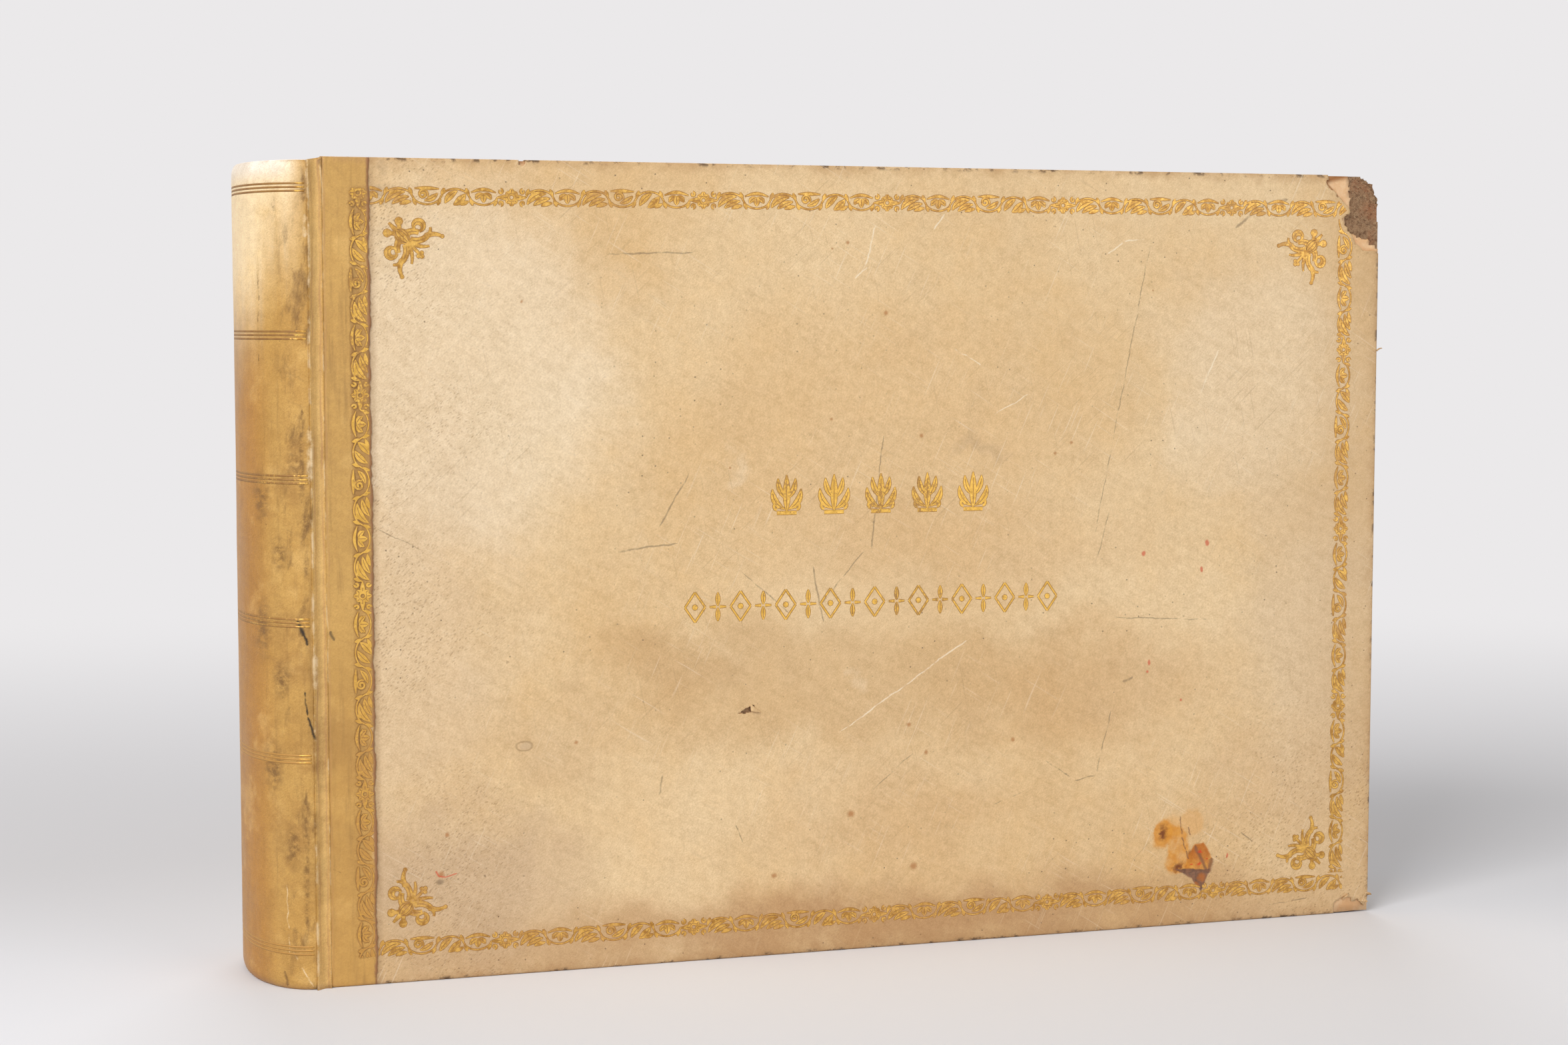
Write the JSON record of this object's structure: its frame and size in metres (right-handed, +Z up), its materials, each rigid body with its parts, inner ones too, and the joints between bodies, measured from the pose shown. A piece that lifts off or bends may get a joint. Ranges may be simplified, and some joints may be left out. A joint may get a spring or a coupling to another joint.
{
  "type": "photograph album",
  "caption": "Oblong photograph album in vellum with a rounded hollow back, hinged covers and card leaves hung on sewn guards that fan open.",
  "frame": {"origin": "centre of the bounding box at the tail edge, which stands on the table", "axes": "+X from the spine to the fore edge, -Y out of the front cover, +Z up from tail to head"},
  "size_m": [0.526, 0.0914, 0.35],
  "materials": {
    "side_vellum": "aged pale calf vellum, dull with pores and stains",
    "spine_vellum": "aged honey vellum, polished by handling",
    "pasteboard": "brown pasteboard, fibrous",
    "lining_paper": "peach lining paper",
    "infill_card": "thin grey buff card",
    "endpaper": "aged cream wove paper",
    "leaf_card": "aged cream card",
    "linen": "unbleached linen",
    "mull": "open weave cotton",
    "band_silk": "silk thread over a cord"
  },
  "bodies": {
    "binding": {"spine_vellum": "spine_vellum", "spine_card": "pasteboard", "front_joint": "spine_vellum", "back_joint": "spine_vellum", "front_hinge_cloth": "linen", "back_hinge_cloth": "linen", "spine_mull": "mull", "sewing_tapes": "linen", "guards": "leaf_card", "guard_fills": "infill_card", "leaf_linens": "linen", "headband": "band_silk", "tailband": "band_silk"},
    "front_cover": {"front_board": "pasteboard", "front_lining": "lining_paper", "front_vellum": "side_vellum", "front_lap": "spine_vellum", "front_infill": "infill_card", "front_slips": "linen", "front_pastedown": "endpaper"},
    "back_cover": {"back_board": "pasteboard", "back_lining": "lining_paper", "back_vellum": "side_vellum", "back_lap": "spine_vellum", "back_infill": "infill_card", "back_slips": "linen", "back_pastedown": "endpaper"},
    "front_free_endpaper": {"front_flyleaf": "endpaper"},
    "back_free_endpaper": {"back_flyleaf": "endpaper"},
    "card_leaf_01": {"leaf_01": "leaf_card"},
    "card_leaf_02": {"leaf_02": "leaf_card"},
    "card_leaf_03": {"leaf_03": "leaf_card"},
    "card_leaf_04": {"leaf_04": "leaf_card"},
    "card_leaf_05": {"leaf_05": "leaf_card"},
    "card_leaf_06": {"leaf_06": "leaf_card"},
    "card_leaf_07": {"leaf_07": "leaf_card"},
    "card_leaf_08": {"leaf_08": "leaf_card"},
    "card_leaf_09": {"leaf_09": "leaf_card"},
    "card_leaf_10": {"leaf_10": "leaf_card"},
    "card_leaf_11": {"leaf_11": "leaf_card"},
    "card_leaf_12": {"leaf_12": "leaf_card"},
    "card_leaf_13": {"leaf_13": "leaf_card"},
    "card_leaf_14": {"leaf_14": "leaf_card"},
    "card_leaf_15": {"leaf_15": "leaf_card"},
    "card_leaf_16": {"leaf_16": "leaf_card"},
    "card_leaf_17": {"leaf_17": "leaf_card"},
    "card_leaf_18": {"leaf_18": "leaf_card"},
    "card_leaf_19": {"leaf_19": "leaf_card"},
    "card_leaf_20": {"leaf_20": "leaf_card"},
    "card_leaf_21": {"leaf_21": "leaf_card"},
    "card_leaf_22": {"leaf_22": "leaf_card"},
    "card_leaf_23": {"leaf_23": "leaf_card"},
    "card_leaf_24": {"leaf_24": "leaf_card"}
  },
  "joints": [
    {"name": "front_cover_hinge", "type": "hinge", "parent": "binding", "child": "front_cover", "pos_m": [-0.234, -0.04485, 0.175], "axis": [0, 0, -1], "range_deg": [0, 175]},
    {"name": "back_cover_hinge", "type": "hinge", "parent": "binding", "child": "back_cover", "pos_m": [-0.234, 0.04485, 0.175], "axis": [0, 0, 1], "range_deg": [0, 175]},
    {"name": "front_flyleaf_hinge", "type": "hinge", "parent": "binding", "child": "front_free_endpaper", "pos_m": [-0.2295, -0.03705, 0.175], "axis": [0, 0, -1], "range_deg": [0, 99]},
    {"name": "back_flyleaf_hinge", "type": "hinge", "parent": "binding", "child": "back_free_endpaper", "pos_m": [-0.2295, 0.03705, 0.175], "axis": [0, 0, 1], "range_deg": [0, 99]},
    {"name": "leaf_01_hinge", "type": "hinge", "parent": "binding", "child": "card_leaf_01", "pos_m": [-0.2215, -0.03508, 0.175], "axis": [0, 0, -1], "range_deg": [0, 54]},
    {"name": "leaf_02_hinge", "type": "hinge", "parent": "binding", "child": "card_leaf_02", "pos_m": [-0.2215, -0.03202, 0.175], "axis": [0, 0, -1], "range_deg": [0, 49.5]},
    {"name": "leaf_03_hinge", "type": "hinge", "parent": "binding", "child": "card_leaf_03", "pos_m": [-0.2215, -0.02898, 0.175], "axis": [0, 0, -1], "range_deg": [0, 45]},
    {"name": "leaf_04_hinge", "type": "hinge", "parent": "binding", "child": "card_leaf_04", "pos_m": [-0.2215, -0.02593, 0.175], "axis": [0, 0, -1], "range_deg": [0, 40.5]},
    {"name": "leaf_05_hinge", "type": "hinge", "parent": "binding", "child": "card_leaf_05", "pos_m": [-0.2215, -0.02287, 0.175], "axis": [0, 0, -1], "range_deg": [0, 36]},
    {"name": "leaf_06_hinge", "type": "hinge", "parent": "binding", "child": "card_leaf_06", "pos_m": [-0.2215, -0.01982, 0.175], "axis": [0, 0, -1], "range_deg": [0, 31.5]},
    {"name": "leaf_07_hinge", "type": "hinge", "parent": "binding", "child": "card_leaf_07", "pos_m": [-0.2215, -0.01678, 0.175], "axis": [0, 0, -1], "range_deg": [0, 27]},
    {"name": "leaf_08_hinge", "type": "hinge", "parent": "binding", "child": "card_leaf_08", "pos_m": [-0.2215, -0.01372, 0.175], "axis": [0, 0, -1], "range_deg": [0, 22.5]},
    {"name": "leaf_09_hinge", "type": "hinge", "parent": "binding", "child": "card_leaf_09", "pos_m": [-0.2215, -0.01068, 0.175], "axis": [0, 0, -1], "range_deg": [0, 18]},
    {"name": "leaf_10_hinge", "type": "hinge", "parent": "binding", "child": "card_leaf_10", "pos_m": [-0.2215, -0.00762, 0.175], "axis": [0, 0, -1], "range_deg": [0, 13.5]},
    {"name": "leaf_11_hinge", "type": "hinge", "parent": "binding", "child": "card_leaf_11", "pos_m": [-0.2215, -0.00458, 0.175], "axis": [0, 0, -1], "range_deg": [0, 9]},
    {"name": "leaf_12_hinge", "type": "hinge", "parent": "binding", "child": "card_leaf_12", "pos_m": [-0.2215, -0.00153, 0.175], "axis": [0, 0, -1], "range_deg": [0, 4.5]},
    {"name": "leaf_13_hinge", "type": "hinge", "parent": "binding", "child": "card_leaf_13", "pos_m": [-0.2215, 0.00153, 0.175], "axis": [0, 0, 1], "range_deg": [0, 4.5]},
    {"name": "leaf_14_hinge", "type": "hinge", "parent": "binding", "child": "card_leaf_14", "pos_m": [-0.2215, 0.00458, 0.175], "axis": [0, 0, 1], "range_deg": [0, 9]},
    {"name": "leaf_15_hinge", "type": "hinge", "parent": "binding", "child": "card_leaf_15", "pos_m": [-0.2215, 0.00762, 0.175], "axis": [0, 0, 1], "range_deg": [0, 13.5]},
    {"name": "leaf_16_hinge", "type": "hinge", "parent": "binding", "child": "card_leaf_16", "pos_m": [-0.2215, 0.01068, 0.175], "axis": [0, 0, 1], "range_deg": [0, 18]},
    {"name": "leaf_17_hinge", "type": "hinge", "parent": "binding", "child": "card_leaf_17", "pos_m": [-0.2215, 0.01372, 0.175], "axis": [0, 0, 1], "range_deg": [0, 22.5]},
    {"name": "leaf_18_hinge", "type": "hinge", "parent": "binding", "child": "card_leaf_18", "pos_m": [-0.2215, 0.01678, 0.175], "axis": [0, 0, 1], "range_deg": [0, 27]},
    {"name": "leaf_19_hinge", "type": "hinge", "parent": "binding", "child": "card_leaf_19", "pos_m": [-0.2215, 0.01982, 0.175], "axis": [0, 0, 1], "range_deg": [0, 31.5]},
    {"name": "leaf_20_hinge", "type": "hinge", "parent": "binding", "child": "card_leaf_20", "pos_m": [-0.2215, 0.02287, 0.175], "axis": [0, 0, 1], "range_deg": [0, 36]},
    {"name": "leaf_21_hinge", "type": "hinge", "parent": "binding", "child": "card_leaf_21", "pos_m": [-0.2215, 0.02593, 0.175], "axis": [0, 0, 1], "range_deg": [0, 40.5]},
    {"name": "leaf_22_hinge", "type": "hinge", "parent": "binding", "child": "card_leaf_22", "pos_m": [-0.2215, 0.02898, 0.175], "axis": [0, 0, 1], "range_deg": [0, 45]},
    {"name": "leaf_23_hinge", "type": "hinge", "parent": "binding", "child": "card_leaf_23", "pos_m": [-0.2215, 0.03202, 0.175], "axis": [0, 0, 1], "range_deg": [0, 49.5]},
    {"name": "leaf_24_hinge", "type": "hinge", "parent": "binding", "child": "card_leaf_24", "pos_m": [-0.2215, 0.03508, 0.175], "axis": [0, 0, 1], "range_deg": [0, 54]}
  ],
  "couplings": [
    {"joint": "front_flyleaf_hinge", "follows": "front_cover_hinge", "ratio": 0.56571},
    {"joint": "back_flyleaf_hinge", "follows": "back_cover_hinge", "ratio": 0.56571},
    {"joint": "leaf_01_hinge", "follows": "front_cover_hinge", "ratio": 0.30857},
    {"joint": "leaf_02_hinge", "follows": "front_cover_hinge", "ratio": 0.28286},
    {"joint": "leaf_03_hinge", "follows": "front_cover_hinge", "ratio": 0.25714},
    {"joint": "leaf_04_hinge", "follows": "front_cover_hinge", "ratio": 0.23143},
    {"joint": "leaf_05_hinge", "follows": "front_cover_hinge", "ratio": 0.20571},
    {"joint": "leaf_06_hinge", "follows": "front_cover_hinge", "ratio": 0.18},
    {"joint": "leaf_07_hinge", "follows": "front_cover_hinge", "ratio": 0.15429},
    {"joint": "leaf_08_hinge", "follows": "front_cover_hinge", "ratio": 0.12857},
    {"joint": "leaf_09_hinge", "follows": "front_cover_hinge", "ratio": 0.10286},
    {"joint": "leaf_10_hinge", "follows": "front_cover_hinge", "ratio": 0.077142},
    {"joint": "leaf_11_hinge", "follows": "front_cover_hinge", "ratio": 0.051428},
    {"joint": "leaf_12_hinge", "follows": "front_cover_hinge", "ratio": 0.025714},
    {"joint": "leaf_13_hinge", "follows": "back_cover_hinge", "ratio": 0.025714},
    {"joint": "leaf_14_hinge", "follows": "back_cover_hinge", "ratio": 0.051428},
    {"joint": "leaf_15_hinge", "follows": "back_cover_hinge", "ratio": 0.077142},
    {"joint": "leaf_16_hinge", "follows": "back_cover_hinge", "ratio": 0.10286},
    {"joint": "leaf_17_hinge", "follows": "back_cover_hinge", "ratio": 0.12857},
    {"joint": "leaf_18_hinge", "follows": "back_cover_hinge", "ratio": 0.15429},
    {"joint": "leaf_19_hinge", "follows": "back_cover_hinge", "ratio": 0.18},
    {"joint": "leaf_20_hinge", "follows": "back_cover_hinge", "ratio": 0.20571},
    {"joint": "leaf_21_hinge", "follows": "back_cover_hinge", "ratio": 0.23143},
    {"joint": "leaf_22_hinge", "follows": "back_cover_hinge", "ratio": 0.25714},
    {"joint": "leaf_23_hinge", "follows": "back_cover_hinge", "ratio": 0.28286},
    {"joint": "leaf_24_hinge", "follows": "back_cover_hinge", "ratio": 0.30857}
  ]
}
